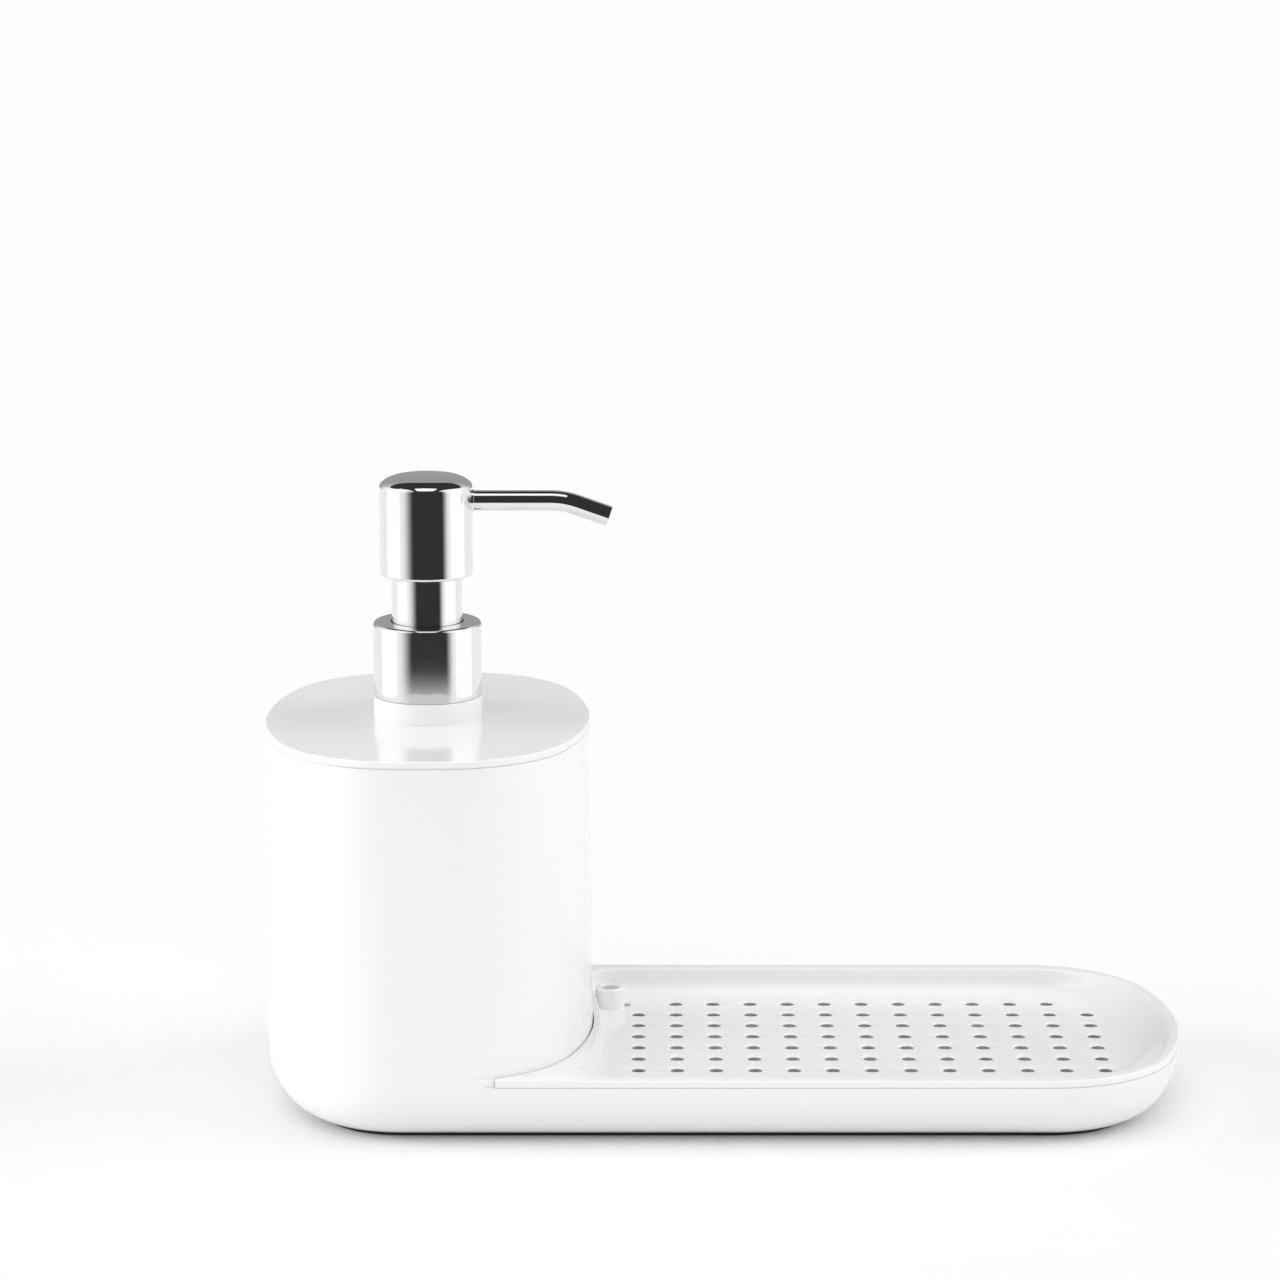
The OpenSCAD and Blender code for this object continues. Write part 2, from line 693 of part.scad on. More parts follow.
// Solid along the spout's route; the bend is a hair fuller, so that the straights seat in it
module spout_route(r, x0, tail) {
    translate([0, 0, spout_z]) {
        translate([x0, 0, 0]) rotate([0, 90, 0]) cylinder(r = r, h = spout_run + run - x0);
        translate([spout_run, 0, -spout_bend_r]) rotate([90, 0, 0]) rotate([0, 0, 90 - spout_angle])
            rotate_extrude(angle = spout_angle) translate([spout_bend_r, 0]) circle(r + swell);
        translate([spout_run + spout_bend_r * sin(spout_angle), 0, -spout_bend_r * (1 - cos(spout_angle))])
            rotate([0, 90 + spout_angle, 0]) translate([0, 0, -run]) cylinder(r = r, h = tail + run);
    }
}

module spout_tube() {
    x0 = core_r / 2 + fit;
    color("silver") on_axis() difference() {
        spout_route(spout_r, x0, spout_end);
        spout_route(spout_r - spout_t, x0 - over, spout_end + over);
    }
}

module spout_ring() {
    color("silver") on_axis() translate([ring_x, 0, spout_z])
        rotate([0, 90, 0]) tube(ferrule_r, spout_r + fit, 0, 3 * head_t);
}

module spout_liner() {
    x0 = core_r / 2 + fit;
    r = spout_r - spout_t;
    color("whitesmoke") on_axis() difference() {
        spout_route(r - fit, x0, spout_end - 2 * spout_t);
        spout_route(r - liner_t, x0 - over, spout_end + over);
    }
}

body_shell();
top_plate();
plate_seal();
feet();
drain_tray();
collar_shell();
screw_cap();
neck_gasket();
pump_barrel();
chaplet();
guide_sleeve();
dip_tube();
inlet_ball();
return_spring();
stem();
piston();
outlet_ball();
head_shell();
head_core();
spout_tube();
spout_ring();
spout_liner();
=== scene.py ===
"""Soap pump caddy: gloss white moulded bottle and bowl, perforated drain tray and a chromed lotion pump."""

import math

import bmesh
import bpy
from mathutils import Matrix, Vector


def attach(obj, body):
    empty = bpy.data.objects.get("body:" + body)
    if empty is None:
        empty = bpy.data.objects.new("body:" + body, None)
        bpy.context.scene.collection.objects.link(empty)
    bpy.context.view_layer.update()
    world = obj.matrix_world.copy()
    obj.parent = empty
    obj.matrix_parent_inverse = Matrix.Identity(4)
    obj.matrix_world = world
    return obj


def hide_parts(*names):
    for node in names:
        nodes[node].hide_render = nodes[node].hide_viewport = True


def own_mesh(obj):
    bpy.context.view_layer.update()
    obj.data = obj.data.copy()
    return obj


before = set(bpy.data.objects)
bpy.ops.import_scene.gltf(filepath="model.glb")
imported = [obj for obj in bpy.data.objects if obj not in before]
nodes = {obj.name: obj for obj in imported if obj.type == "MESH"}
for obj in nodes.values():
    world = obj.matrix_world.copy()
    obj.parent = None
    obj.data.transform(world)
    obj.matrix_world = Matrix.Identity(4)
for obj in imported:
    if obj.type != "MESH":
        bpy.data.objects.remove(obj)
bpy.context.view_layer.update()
MM = 0.001
PUMP_X = -76.6  # mm, the axis of the pump; y is 0


# ---------- colours and nodes ----------

def linear(hex_colour, alpha=1.0):
    """An sRGB hex colour as the linear values that a shader takes."""
    channels = [int(hex_colour[i:i + 2], 16) / 255 for i in (1, 3, 5)]
    return [c / 12.92 if c <= 0.04045 else ((c + 0.055) / 1.055) ** 2.4 for c in channels] + [alpha]


def add(tree, kind, settings=None, **links):
    """One node with its settings; a link is socket=output, and a plain value sets the socket."""
    made = tree.nodes.new(kind)
    for name, value in (settings or {}).items():
        setattr(made, name, value)
    for name, value in links.items():
        key = int(name[1:]) if name[0] == "i" and name[1:].isdigit() else name.replace("_", " ")
        if isinstance(value, bpy.types.NodeSocket):
            tree.links.new(value, made.inputs[key])
        else:
            made.inputs[key].default_value = value
    return made


def new_material(name):
    """An empty material and its tree of nodes."""
    made = bpy.data.materials.new(name)
    made.use_nodes = True
    made.node_tree.nodes.clear()
    return made, made.node_tree


# ---------- materials ----------

FINE_MM, HAZE_MM = 3.0, 6.0          # size of the patches where plastic and metal shine a little more or less
PLASTIC_GLOSS = 0.85, 1.15           # share of the roughness in the glossiest and in the dullest patch
METAL_GLOSS = 0.8, 1.2
GLOW_DEPTH_MM = 2.0                  # how far light spreads inside a milky plastic


def moulded_plastic(name, colour, roughness, ior, ripple_mm, ripple_depth_mm, sss=0.0):
    """Injection moulded plastic: gloss from the tool, with the faint waves of cooled resin."""
    material, tree = new_material(name)
    place = add(tree, "ShaderNodeTexCoord").outputs["Object"]
    wave = add(tree, "ShaderNodeTexNoise", Vector=place, Scale=1 / (ripple_mm * MM), Detail=2.0, Roughness=0.4)
    relief = add(tree, "ShaderNodeBump", Height=wave.outputs[0], Strength=1.0, Distance=ripple_depth_mm * MM)
    fine = add(tree, "ShaderNodeTexNoise", Vector=place, Scale=1 / (FINE_MM * MM), Detail=3.0, Roughness=0.6)
    gloss = add(tree, "ShaderNodeMapRange", Value=fine.outputs[0], To_Min=roughness * PLASTIC_GLOSS[0],
                To_Max=roughness * PLASTIC_GLOSS[1])
    shader = add(tree, "ShaderNodeBsdfPrincipled", Base_Color=linear(colour), Roughness=gloss.outputs[0],
                 Normal=relief.outputs[0])
    shader.inputs["IOR"].default_value = ior
    if sss:
        shader.inputs["Subsurface Weight"].default_value = sss
        shader.inputs["Subsurface Radius"].default_value = (1.0, 1.0, 1.0)
        shader.inputs["Subsurface Scale"].default_value = GLOW_DEPTH_MM * MM
    add(tree, "ShaderNodeOutputMaterial", Surface=shader.outputs[0])
    return material


def plated_metal(name, colour, roughness, wave_mm, wave_depth_mm):
    """Bright metal: mirror-like, with the slight waviness of what is polished, drawn or ground."""
    material, tree = new_material(name)
    place = add(tree, "ShaderNodeTexCoord").outputs["Object"]
    wave = add(tree, "ShaderNodeTexNoise", Vector=place, Scale=1 / (wave_mm * MM), Detail=1.0, Roughness=0.4)
    relief = add(tree, "ShaderNodeBump", Height=wave.outputs[0], Strength=1.0, Distance=wave_depth_mm * MM)
    haze = add(tree, "ShaderNodeTexNoise", Vector=place, Scale=1 / (HAZE_MM * MM), Detail=3.0, Roughness=0.6)
    gloss = add(tree, "ShaderNodeMapRange", Value=haze.outputs[0], To_Min=roughness * METAL_GLOSS[0],
                To_Max=roughness * METAL_GLOSS[1])
    shader = add(tree, "ShaderNodeBsdfPrincipled", Base_Color=linear(colour), Metallic=1.0,
                 Roughness=gloss.outputs[0], Normal=relief.outputs[0])
    add(tree, "ShaderNodeOutputMaterial", Surface=shader.outputs[0])
    return material


# ABS from a polished tool: clear soft mirror of the studio over a bright white body
gloss_abs = moulded_plastic("white_abs_moulded_gloss", "#f4f4f4", 0.12, 1.5, 30.0, 0.004)
# The same ABS from a plainer tool: a wider, softer gloss
tray_abs = moulded_plastic("white_abs_moulded_tray", "#f4f4f4", 0.2, 1.5, 22.0, 0.004)
# Nickel-chrome plate on thin pressed steel and brass tube: a mirror with hardly any haze
chrome = plated_metal("chrome_plated_polished", "#ebebec", 0.05, 20.0, 0.0008)
# Unpainted polypropylene: milky and a little waxy
natural_pp = moulded_plastic("natural_polypropylene_moulded", "#e6e6e0", 0.35, 1.49, 12.0, 0.01, sss=0.3)
# Extruded polyethylene tube: cloudy, with light that spreads inside the wall
clear_pe = moulded_plastic("natural_polyethylene_extruded", "#dfe3e4", 0.3, 1.51, 8.0, 0.01, sss=0.4)
# Silicone rubber of the seals: grey-white and half matt
seal_silicone = moulded_plastic("silicone_moulded_seal", "#cfd0d1", 0.5, 1.41, 6.0, 0.01, sss=0.2)
# Dark silicone rubber of the pads: matt, with the tool's fine texture; the same dark colour is on the strip under
# the bowl that paints the contact shadow
pad_and_shadow_strip_silicone = moulded_plastic("silicone_pads_and_painted_shadow_strip", "#2b2b2c", 0.6, 1.41, 4.0, 0.02)
# Drawn stainless wire: bright, with soft streaks of the die
spring_steel = plated_metal("stainless_steel_drawn_wire", "#c9c8c5", 0.25, 3.0, 0.002)
# Ground stainless balls: nearly a mirror
ball_steel = plated_metal("stainless_steel_ground_ball", "#d4d3d0", 0.1, 4.0, 0.0005)

finishes = {
    chrome: ("guide_sleeve",),
    natural_pp: ("screw_cap", "pump_barrel", "chaplet", "stem", "head_core"),
    clear_pe: ("dip_tube", "piston"),
    seal_silicone: ("plate_seal", "neck_gasket"),
    pad_and_shadow_strip_silicone: ("feet",),
    ball_steel: ("inlet_ball", "outlet_ball"),
}
for material, names in finishes.items():
    for name in names:
        mesh = nodes[name].data
        mesh.materials.clear()
        mesh.materials.append(material)
        for face in mesh.polygons:
            face.material_index = 0


# ---------- pieces ----------

WELD = 0.001 * MM
CREASE = math.radians(35)
TURNS = 160       # sides of a turned piece
PIPE_SIDES = 64
ARC_STEPS = 14


def finish_piece(shell, name, node, body, material):
    """Curves shade as one surface, an edge of more than CREASE stays crisp, and flat faces stay flat."""
    bmesh.ops.recalc_face_normals(shell, faces=shell.faces)
    for edge in shell.edges:
        edge.smooth = edge.is_manifold and edge.calc_face_angle() < CREASE
    for face in shell.faces:
        face.smooth = True
    mesh = bpy.data.meshes.new(name)
    shell.to_mesh(mesh)
    shell.free()
    mesh.materials.append(material)
    made = bpy.data.objects.new(name, mesh)
    bpy.context.scene.collection.objects.link(made)
    level = made.modifiers.new("flat_faces_lead", "WEIGHTED_NORMAL")
    level.mode = "FACE_AREA_WITH_ANGLE"
    level.keep_sharp = True
    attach(made, body)
    if node:
        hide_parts(node)
    return made


def moulding(node):
    """A node's own points and faces, welded, without the shading that they came with."""
    source = nodes[node].data
    mesh = bpy.data.meshes.new(node + "_form")
    mesh.from_pydata([v.co for v in source.vertices], [], [p.vertices[:] for p in source.polygons])
    shell = bmesh.new()
    shell.from_mesh(mesh)
    bpy.data.meshes.remove(mesh)
    bmesh.ops.remove_doubles(shell, verts=shell.verts, dist=WELD)
    bmesh.ops.dissolve_degenerate(shell, edges=shell.edges, dist=WELD)
    return shell


def arc(cx, cz, radius, steps):
    """Points in mm on a quarter round, from straight out to straight up."""
    angles = [math.radians(90 * k / steps) for k in range(steps + 1)]
    return [(cx + radius * math.cos(a), cz + radius * math.sin(a)) for a in angles]


def join_rings(shell, rings):
    """Walls between rings of as many points, the last joined to the first; a ring of one point is a pole."""
    for one, two in zip(rings, rings[1:] + rings[:1]):
        for k in range(max(len(one), len(two))):
            corners = [one[k % len(one)], one[(k + 1) % len(one)], two[(k + 1) % len(two)], two[k % len(two)]]
            corners = [v for i, v in enumerate(corners) if v not in corners[:i]]
            if len(corners) > 2:
                shell.faces.new(corners)


def turned(loop, place):
    """A closed outline of (radius, height) in mm, turned about an axis; place gives a point's place in mm."""
    shell = bmesh.new()
    rings = []
    for r, h in loop:
        count = TURNS if r > 0 else 1
        spots = [place(r * math.cos(2 * math.pi * k / TURNS), r * math.sin(2 * math.pi * k / TURNS), h)
                 for k in range(count)]
        rings.append([shell.verts.new([c * MM for c in spot]) for spot in spots])
    join_rings(shell, rings)
    return shell


def on_pump_axis(x, y, h):
    """Place of a point of a piece that stands on the pump's axis."""
    return PUMP_X + x, y, h


# Bright shell of the head: plain side with a rolled foot, and a top of three arcs, crown, shoulder and roll.
# Lengths in mm, and the slopes where the crown and the shoulder end in degrees
HEAD_R, HEAD_FOOT, HEAD_WALL, HEAD_TOP, HEAD_CEILING = 12.0, 137.25, 0.65, 163.42, 159.0
FOOT_ROLL_R, FOOT_ROLL_H, FOOT_STEPS = 0.3, 0.6, 8
CROWN_END, SHOULDER_END, SHOULDER_R, ROLL_R = 11.5, 44.0, 6.7, 1.55


def dome_points():
    """Points (radius, height) in mm from the middle of the dome to its edge."""
    crown, shoulder = math.sin(math.radians(CROWN_END)), math.sin(math.radians(SHOULDER_END))
    crown_r = (HEAD_R - SHOULDER_R * (shoulder - crown) - ROLL_R * (1 - shoulder)) / crown
    points, r, z, start = [(0.0, HEAD_TOP)], 0.0, HEAD_TOP, 0.0
    for radius, end in ((crown_r, CROWN_END), (SHOULDER_R, SHOULDER_END), (ROLL_R, 90.0)):
        for k in range(ARC_STEPS):
            a = math.radians(start + (end - start) * k / ARC_STEPS)
            b = math.radians(start + (end - start) * (k + 1) / ARC_STEPS)
            r += radius * (math.sin(b) - math.sin(a))
            z += radius * (math.cos(b) - math.cos(a))
            points.append((r, z))
        start = end
    return points


head_loop = [(HEAD_R - HEAD_WALL, HEAD_FOOT)]
head_loop += [(HEAD_R - FOOT_ROLL_R * (1 - math.sin(a)), HEAD_FOOT + FOOT_ROLL_H * (1 - math.cos(a)))
              for a in (math.pi / 2 * k / FOOT_STEPS for k in range(FOOT_STEPS + 1))]
head_loop += dome_points()[::-1] + [(0, HEAD_CEILING), (HEAD_R - HEAD_WALL, HEAD_CEILING)]
finish_piece(turned(head_loop, on_pump_axis), "domed_head_shell", "head_shell", "head", chrome)

# Bright overshell of the screw cap: rolled top edge, a mouth for the sleeve, and a broken edge at the foot
COLLAR_R, COLLAR_MOUTH, COLLAR_WALL = 14.0, 9.4, 0.6
COLLAR_FOOT, COLLAR_TOP = 105.75, 124.95
COLLAR_ROLL, COLLAR_HEM = 1.1, 0.15
collar_loop = [(COLLAR_R - COLLAR_WALL, COLLAR_FOOT), (COLLAR_R - COLLAR_HEM, COLLAR_FOOT),
               (COLLAR_R, COLLAR_FOOT + COLLAR_HEM)]
collar_loop += arc(COLLAR_R - COLLAR_ROLL, COLLAR_TOP - COLLAR_ROLL, COLLAR_ROLL, ARC_STEPS)
collar_loop += [(COLLAR_MOUTH, COLLAR_TOP), (COLLAR_MOUTH, COLLAR_TOP - COLLAR_WALL),
                (COLLAR_R - COLLAR_WALL, COLLAR_TOP - COLLAR_WALL)]
finish_piece(turned(collar_loop, on_pump_axis), "rolled_collar_shell", "collar_shell", "collar",
             chrome)

# Spout: straight out of the head, then one long easy bend down. SPOUT_CORNER is where its two straight
# lines would meet, from the pump's axis, and SPOUT_TAIL is the length from there to its end
SPOUT_Z, SPOUT_START, SPOUT_CORNER, SPOUT_TAIL = 156.25, 5.7, 35.29, 12.29
SPOUT_DROP, SPOUT_BEND_R, SPOUT_BEND_STEPS = math.radians(19.5), 20.0, 16
SPOUT_R, SPOUT_BORE_R, SPOUT_EDGE = 2.65, 2.2, 0.08
LINER_R, LINER_BORE_R, LINER_EDGE, LINER_IN = 2.15, 1.7, 0.05, 0.9


def spout_line(tail):
    """Points (x, z, angle) in mm and radians along the spout's middle, from inside the head to its end."""
    bend_start = SPOUT_CORNER - SPOUT_BEND_R * math.tan(SPOUT_DROP / 2)
    line = [(SPOUT_START, SPOUT_Z, 0.0)]
    for k in range(SPOUT_BEND_STEPS + 1):
        a = SPOUT_DROP * k / SPOUT_BEND_STEPS
        line.append((bend_start + SPOUT_BEND_R * math.sin(a), SPOUT_Z - SPOUT_BEND_R * (1 - math.cos(a)), a))
    line.append((SPOUT_CORNER + tail * math.cos(SPOUT_DROP), SPOUT_Z - tail * math.sin(SPOUT_DROP), SPOUT_DROP))
    return line


def bent_pipe(outer, bore, tail, edge):
    """A pipe along the spout's middle, with its mouth's edge broken."""
    line = spout_line(tail)
    x, z, a = line[-1]
    back = (x - edge * math.cos(a), z + edge * math.sin(a), a)
    stations = [(point, outer) for point in line[:-1] + [back]] + [(line[-1], outer - edge)]
    stations += [(line[-1], bore)] + [(point, bore) for point in line[-2::-1]]
    shell = bmesh.new()
    rings = []
    for (x, z, a), r in stations:
        ring = []
        for k in range(PIPE_SIDES):
            t = 2 * math.pi * k / PIPE_SIDES
            side, up = r * math.cos(t), r * math.sin(t)
            spot = PUMP_X + x + up * math.sin(a), side, z + up * math.cos(a)
            ring.append(shell.verts.new([c * MM for c in spot]))
        rings.append(ring)
    join_rings(shell, rings)
    return shell


finish_piece(bent_pipe(SPOUT_R, SPOUT_BORE_R, SPOUT_TAIL, SPOUT_EDGE), "bent_spout_tube", "spout_tube", "head",
             chrome)
finish_piece(bent_pipe(LINER_R, LINER_BORE_R, SPOUT_TAIL - LINER_IN, LINER_EDGE), "bent_spout_liner",
             "spout_liner", "head", clear_pe)

# Slim pressed ring where the spout leaves the head, round the spout's axis
RING_R, RING_BORE_R, RING_START, RING_END, RING_EDGE, RING_STEPS = 2.85, 2.68, 10.7, 12.35, 0.1, 4
ring_loop = [(RING_BORE_R, RING_START), (RING_R, RING_START)]
ring_loop += arc(RING_R - RING_EDGE, RING_END - RING_EDGE, RING_EDGE, RING_STEPS) + [(RING_BORE_R, RING_END)]
finish_piece(turned(ring_loop, lambda x, y, h: (PUMP_X + h, x, SPOUT_Z + y)), "slim_spout_ring", "spout_ring",
             "head", chrome)

# Bottle, bowl and lid keep the solids' form, with one smooth shading over their lofted faces
finish_piece(moulding("body_shell"), "bottle_and_bowl", "body_shell", "caddy", gloss_abs)
finish_piece(moulding("top_plate"), "bottle_top", "top_plate", "caddy", gloss_abs)

# In each quarter, the bowl's outline is an arc about END_ARC and one about CORNER_ARC: (x, y, radius) in mm.
# They meet at ARCS_MEET, an angle from the x axis
END_ARC, CORNER_ARC = (27.0, 0.0, 92.0), (82.35, 20.38, 33.02)
ARCS_MEET = math.atan2(CORNER_ARC[1], CORNER_ARC[0] - END_ARC[0])
OUTLINE_STEPS = 12


def bowl_outline(inset, z):
    """Points in mm along the bowl's outline, set in by inset."""
    quarter = [(x + (r - inset) * math.cos(a), y + (r - inset) * math.sin(a))
               for (x, y, r), start, end in ((END_ARC, 0.0, ARCS_MEET), (CORNER_ARC, ARCS_MEET, math.pi / 2))
               for a in (start + (end - start) * k / OUTLINE_STEPS for k in range(OUTLINE_STEPS + 1))]
    half = quarter + [(-x, y) for x, y in quarter[::-1]]
    return [(x, y, z) for x, y in half + [(x, -y) for x, y in half[-2:0:-1]]]


# Painted contact shadow: a dark strip under the bowl, all round inside its rounded foot, in the pads' dark
# silicone; it shows as the black line of shade below the bowl
STRIP_OUT, STRIP_IN, STRIP_H = 11.7, 14.7, 1.01
strip = bmesh.new()
join_rings(strip, [[strip.verts.new([c * MM for c in point]) for point in bowl_outline(inset, z)]
                   for inset, z in ((STRIP_OUT, 0.0), (STRIP_OUT, STRIP_H), (STRIP_IN, STRIP_H), (STRIP_IN, 0.0))])
finish_piece(strip, "painted_shadow_strip", None, "caddy", pad_and_shadow_strip_silicone)

# Drain holes: a soft countersink on top, a short bore, and a wide relief below. Each ring of points is given as
# the moulding has it and as it becomes, in (radius, height) in mm
HOLE_X0, HOLE_PITCH, HOLE_COLUMNS, HOLE_ROWS = -22.2, 10.0, 13, 8
HOLE_RINGS = (((2.3, 10.9), (2.35, 10.9)), ((2.3, 12.05), (1.75, 11.9)), ((2.645, 12.4), (2.75, 12.4)))
HOLE_ROOM = 0.04

# The basin's right end: its wall spreads into one long soft slope, from the rim down to the floor. The rings are
# (distance in from the bowl's outline, height) in mm. The slope is whole up to SOFT_AT, and gone at STEEP_AT
STEEP_AT, SOFT_AT = math.radians(80), math.radians(28)
SLOPE_RINGS = (((8.0, 12.4), (13.0, 12.4)), ((6.95, 12.57), (11.4, 12.6)), ((6.0, 13.05), (9.9, 13.1)),
               ((5.25, 13.8), (8.4, 13.85)), ((4.77, 14.75), (6.9, 14.8)), ((4.6, 15.8), (5.5, 15.85)),
               ((4.6, 17.5), (3.9, 17.1)), ((4.53, 17.75), (3.3, 17.5)), ((4.35, 17.93), (2.6, 17.82)),
               ((4.1, 18.0), (1.9, 18.0)))
SLOPE_ROOM = 0.12


def near_ring(found, rings, room):
    """The ring that a point lies on, to within room: as the moulding has it, and as it becomes."""
    for old, new in rings:
        if abs(found[0] - old[0]) < room and abs(found[1] - old[1]) < room:
            return old, new
    return None


def nearest_hole(x, y):
    """Middle of the drain hole nearest to a point, in mm."""
    column = min(max(round((x - HOLE_X0) / HOLE_PITCH), 0), HOLE_COLUMNS - 1)
    row = min(max(round(y / HOLE_PITCH + (HOLE_ROWS - 1) / 2), 0), HOLE_ROWS - 1)
    return HOLE_X0 + HOLE_PITCH * column, HOLE_PITCH * (row - (HOLE_ROWS - 1) / 2)


def shape_tray(tray):
    """The finer form of the holes and of the basin's right end, by moving the moulding's own rings of points."""
    for vert in tray.verts:
        x, y, z = vert.co / MM
        mid_x, mid_y = nearest_hole(x, y)
        r = math.hypot(x - mid_x, y - mid_y)
        ring = near_ring((r, z), HOLE_RINGS, HOLE_ROOM)
        if ring:
            new_r, z = ring[1]
            x, y = mid_x + (x - mid_x) * new_r / r, mid_y + (y - mid_y) * new_r / r
        elif x > CORNER_ARC[0]:
            mid_x, mid_y, outline_r = END_ARC
            if abs(math.atan2(y - mid_y, x - mid_x)) > ARCS_MEET:
                mid_x, mid_y, outline_r = CORNER_ARC[0], math.copysign(CORNER_ARC[1], y), CORNER_ARC[2]
            r = math.hypot(x - mid_x, y - mid_y)
            ring = near_ring((outline_r - r, z), SLOPE_RINGS, SLOPE_ROOM)
            if ring:
                (old_inset, old_z), (new_inset, new_z) = ring
                turn = abs(math.atan2(y - mid_y, x - mid_x))
                share = min(max((STEEP_AT - turn) / (STEEP_AT - SOFT_AT), 0.0), 1.0)
                share = share * share * (3 - 2 * share)
                new_r = r - share * (new_inset - old_inset)
                x, y = mid_x + (x - mid_x) * new_r / r, mid_y + (y - mid_y) * new_r / r
                z += share * (new_z - old_z)
        vert.co = (x * MM, y * MM, z * MM)


tray = moulding("drain_tray")
shape_tray(tray)
finish_piece(tray, "perforated_tray", "drain_tray", "tray", tray_abs)

# Return spring: stands on its seat in the cylinder, with a mesh of its own
spring = finish_piece(moulding("return_spring"), "wound_spring", "return_spring", "pump",
                      spring_steel)
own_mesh(spring)


# ---------- studio ----------
# All places from here on are in metres

P = PUMP_X * MM                      # the cards stand about the pump, whose chrome shows them all
FLOOR_HALF = 6.0
FLOOR_SHEEN = 0.04                   # what the paper adds where it is looked at, not where it lights
ROOM_LIGHT = 0.47                    # the white room as a light; as a background it is 1
CLOTH, ROOF = 0.035, 0.036           # black cloth and the dark ceiling, next to a white of 1

# Where the black cloth ends and where it is whole: azimuths from the front in degrees, and distances
WEDGE_LEFT, WEDGE_RIGHT, WEDGE_NEAR = (-60, -28), (61, 41), (0.44, 0.54)
# Distances to the side where the grey card ends and where it is whole
GREY_SIDES = (2.6, 0.5)
SOFT = {"interpolation_type": "SMOOTHSTEP"}


def sheet(name, corners):
    """One flat face."""
    mesh = bpy.data.meshes.new(name)
    mesh.from_pydata(corners, [], [range(len(corners))])
    made = bpy.data.objects.new(name, mesh)
    bpy.context.scene.collection.objects.link(made)
    return made


def card(name, corners, level, cover=None):
    """A studio card that only the gloss sees; cover gives the share of it that is there, so its edge is soft."""
    made = sheet(name, corners)
    material, tree = new_material(name + "_paint")
    paint = add(tree, "ShaderNodeEmission", Color=linear("#ffffff"), Strength=level)
    if cover:
        paint = add(tree, "ShaderNodeMixShader", Fac=cover(tree),
                    i1=add(tree, "ShaderNodeBsdfTransparent").outputs[0], i2=paint.outputs[0])
    add(tree, "ShaderNodeOutputMaterial", Surface=paint.outputs[0])
    made.data.materials.append(material)
    for ray in ("camera", "shadow", "diffuse", "transmission"):
        setattr(made, "visible_" + ray, False)


def side_fade(tree):
    """The grey card thins out to the left and right of the pump."""
    place = add(tree, "ShaderNodeSeparateXYZ", Vector=add(tree, "ShaderNodeTexCoord").outputs["Object"])
    away = add(tree, "ShaderNodeMath", {"operation": "SUBTRACT"}, i0=place.outputs[0], i1=P)
    away = add(tree, "ShaderNodeMath", {"operation": "ABSOLUTE"}, i0=away.outputs[0])
    none_at, whole_at = GREY_SIDES
    return add(tree, "ShaderNodeMapRange", SOFT, Value=away.outputs[0], From_Min=none_at,
               From_Max=whole_at).outputs[0]


def front_wedge(tree):
    """Black cloth in a wedge before the pump, from half a metre on, with soft sides."""
    away = add(tree, "ShaderNodeVectorMath", {"operation": "SUBTRACT"},
               i0=add(tree, "ShaderNodeTexCoord").outputs["Object"], i1=(P, 0, 0))
    flat = add(tree, "ShaderNodeVectorMath", {"operation": "MULTIPLY"}, i0=away.outputs[0], i1=(1, -1, 0))
    place = add(tree, "ShaderNodeSeparateXYZ", Vector=flat.outputs[0])
    turn = add(tree, "ShaderNodeMath", {"operation": "ARCTAN2"}, i0=place.outputs[0], i1=place.outputs[1])
    reach = add(tree, "ShaderNodeVectorMath", {"operation": "LENGTH"}, i0=flat.outputs[0])
    share = 1.0
    for value, (none_at, whole_at) in ((turn.outputs[0], map(math.radians, WEDGE_LEFT)),
                                       (turn.outputs[0], map(math.radians, WEDGE_RIGHT)),
                                       (reach.outputs["Value"], WEDGE_NEAR)):
        edge = add(tree, "ShaderNodeMapRange", SOFT, Value=value, From_Min=none_at, From_Max=whole_at)
        share = add(tree, "ShaderNodeMath", {"operation": "MULTIPLY"}, i0=share, i1=edge.outputs[0]).outputs[0]
    return share


def upright(x0, x1, y, z0, z1):
    """Corners of a card that faces the front."""
    return [(x0, y, z0), (x1, y, z0), (x1, y, z1), (x0, y, z1)]


def level_card(x0, x1, y0, y1, z):
    """Corners of a card that lies flat."""
    return [(x0, y0, z), (x1, y0, z), (x1, y1, z), (x0, y1, z)]


def side_card(x, y0, y1, z0, z1):
    """Corners of a card that faces left or right."""
    return [(x, y0, z0), (x, y1, z0), (x, y1, z1), (x, y0, z1)]


def sun(name, azimuth, elevation, spread, strength):
    """A broad soft light from one side, even over the whole floor; the angles are in degrees, 0 is the front."""
    data = bpy.data.lights.new(name, "SUN")
    data.energy = strength
    data.angle = math.radians(spread)
    made = bpy.data.objects.new(name, data)
    a, e = math.radians(azimuth), math.radians(elevation)
    towards = Vector((math.sin(a) * math.cos(e), -math.cos(a) * math.cos(e), math.sin(e)))
    made.rotation_euler = towards.to_track_quat("Z", "Y").to_euler()
    made.visible_glossy = False
    bpy.context.scene.collection.objects.link(made)


def background_share(tree):
    """1 where the camera, a mirror or a glass looks at the background, and 0 where it is only lit by it."""
    path = add(tree, "ShaderNodeLightPath")
    seen = path.outputs["Is Camera Ray"]
    for kind in ("Is Glossy Ray", "Is Transmission Ray"):
        seen = add(tree, "ShaderNodeMath", {"operation": "MAXIMUM"}, i0=seen, i1=path.outputs[kind]).outputs[0]
    return seen


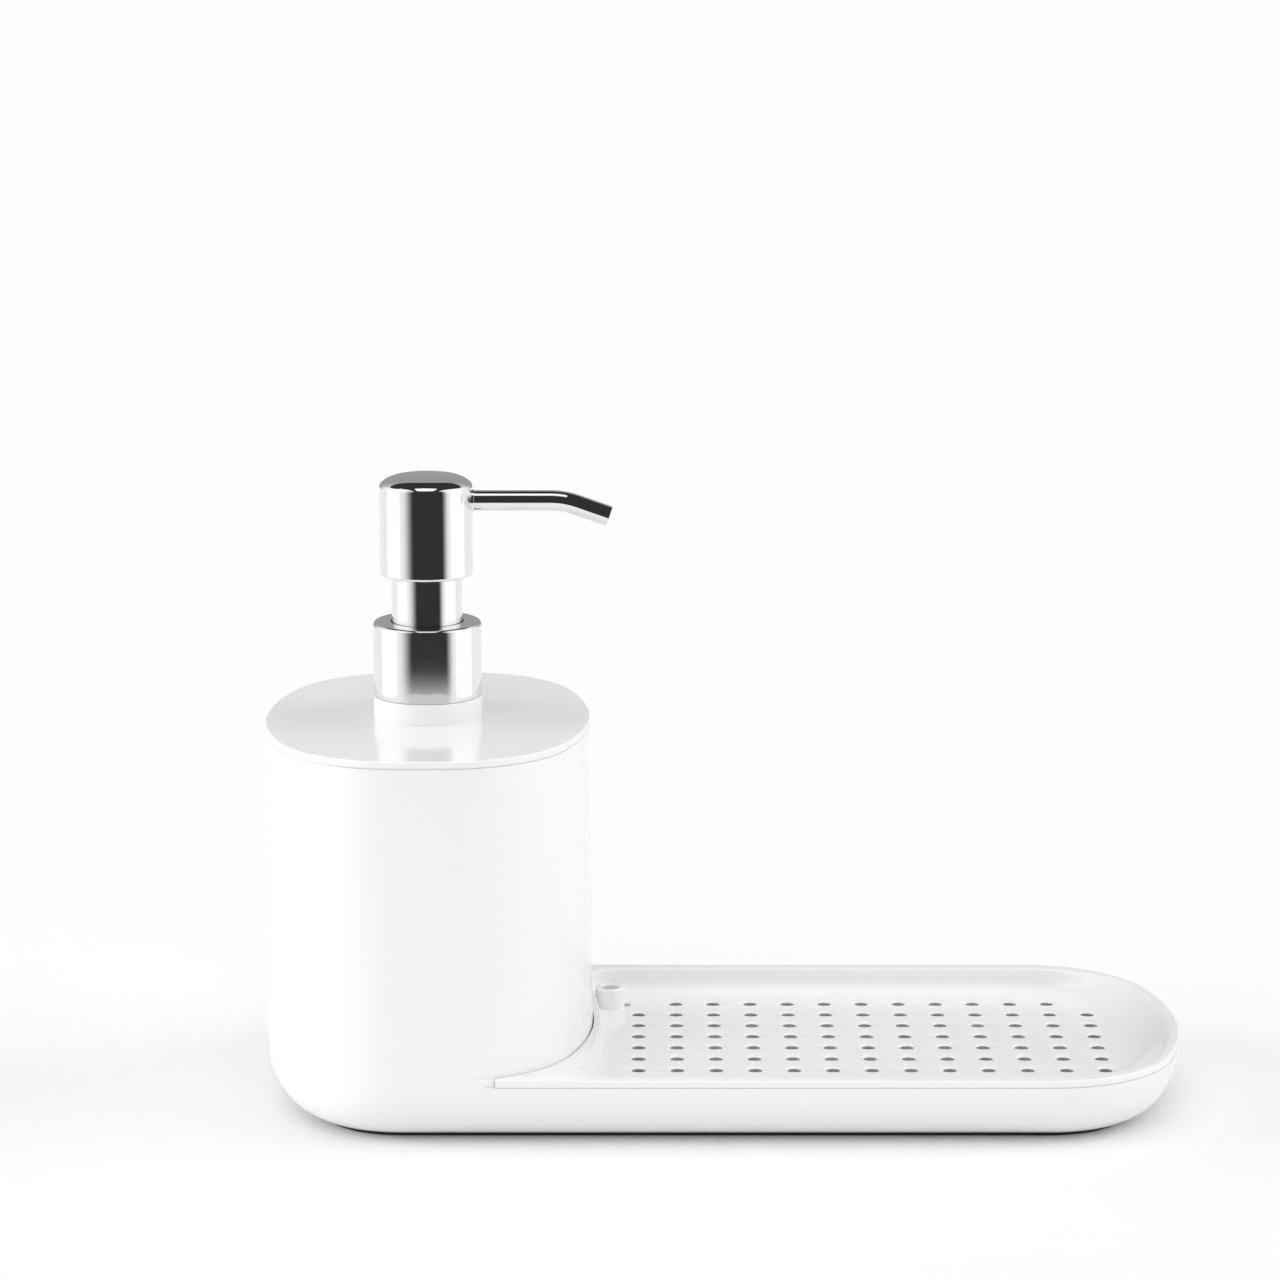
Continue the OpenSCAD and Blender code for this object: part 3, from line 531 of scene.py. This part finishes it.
# White paper that the caddy stands on: matt, and it keeps the shadow
floor = sheet("floor", level_card(-FLOOR_HALF, FLOOR_HALF, -FLOOR_HALF, FLOOR_HALF, 0))
paper, tree = new_material("white_paper_sweep")
sheen = add(tree, "ShaderNodeMath", {"operation": "MULTIPLY"}, i0=background_share(tree), i1=FLOOR_SHEEN)
glow = add(tree, "ShaderNodeEmission", Color=linear("#ffffff"), Strength=sheen.outputs[0])
matt = add(tree, "ShaderNodeBsdfDiffuse", Color=linear("#f0f0f0"))
both = add(tree, "ShaderNodeAddShader", i0=matt.outputs[0], i1=glow.outputs[0])
add(tree, "ShaderNodeOutputMaterial", Surface=both.outputs[0])
floor.data.materials.append(paper)

world = bpy.data.worlds.new("white_studio")
bpy.context.scene.world = world
world.use_nodes = True
tree = world.node_tree
tree.nodes.clear()
level = add(tree, "ShaderNodeMapRange", Value=background_share(tree), To_Min=ROOM_LIGHT, To_Max=1.0)
room = add(tree, "ShaderNodeBackground", Color=linear("#ffffff"), Strength=level.outputs[0])
add(tree, "ShaderNodeOutputWorld", Surface=room.outputs[0])

sun("soft_light_left", -90, 13, 32, 1.4)
sun("soft_light_right", 90, 25, 50, 1.0)
sun("soft_light_front", -20, 32, 80, 0.7)
sun("soft_light_top", 0, 85, 70, 0.82)

# Black cloth before the pump, upright and on the floor: the dark band down the middle of the chrome
card("black_flag_front", upright(P - 4.0, P + 2.4, -1.6, -0.01, 3.54), CLOTH, front_wedge)
card("black_cloth_front", level_card(P - 5.5, P + 5.5, -5.9, 0, 0.002), CLOTH, front_wedge)
# Dark ceiling, wider at the back: the dark top of the dome and of the spout
ROOF_Z = 1.3
roof_outline = [(-0.45, -1.1), (0.58, -1.1), (0.6, 0.0), (1.15, 0.6), (1.15, 1.06), (-1.15, 1.06), (-1.15, 0.6),
                (-0.5, 0.0)]
card("black_roof", [(P + x, y, ROOF_Z) for x, y in roof_outline], ROOF)
# White sheet under the ceiling: the light patch on the dome's top
card("white_overhead", level_card(P - 0.25, P + 0.25, -0.45, 0.05, 1.14), 1.15)
# Grey card behind: the grey along the far edges of the chrome and on the gloss of the lid
card("grey_back", upright(P - 2.6, P + 2.6, 1.6, 0, 2.3), 0.36, side_fade)
# White cards beside the pump: the bright left and right of the chrome
card("white_side_left", side_card(P - 0.45, -0.22, 0.16, 0, 0.9), 1.2)
card("white_side_right", side_card(P + 0.45, -0.22, 0.16, 0, 0.7), 1.2)


# ---------- camera ----------

# Fitted to the outlines of the collar, the rim and the base in the photograph
CAMERA_PLACE = (-21.85, -1141.2, 358.4)  # mm
CAMERA_TILT = math.radians(78.19)
LENS, SENSOR = 127.35, 36                # mm

camera_data = bpy.data.cameras.new("camera")
camera_data.sensor_width = SENSOR
camera_data.lens = LENS
camera_data.clip_start = 0.01
camera = bpy.data.objects.new("camera", camera_data)
camera.location = [c * MM for c in CAMERA_PLACE]
camera.rotation_euler = (CAMERA_TILT, 0, 0)
bpy.context.scene.collection.objects.link(camera)
bpy.context.scene.camera = camera
bpy.context.scene.view_settings.view_transform = "Standard"
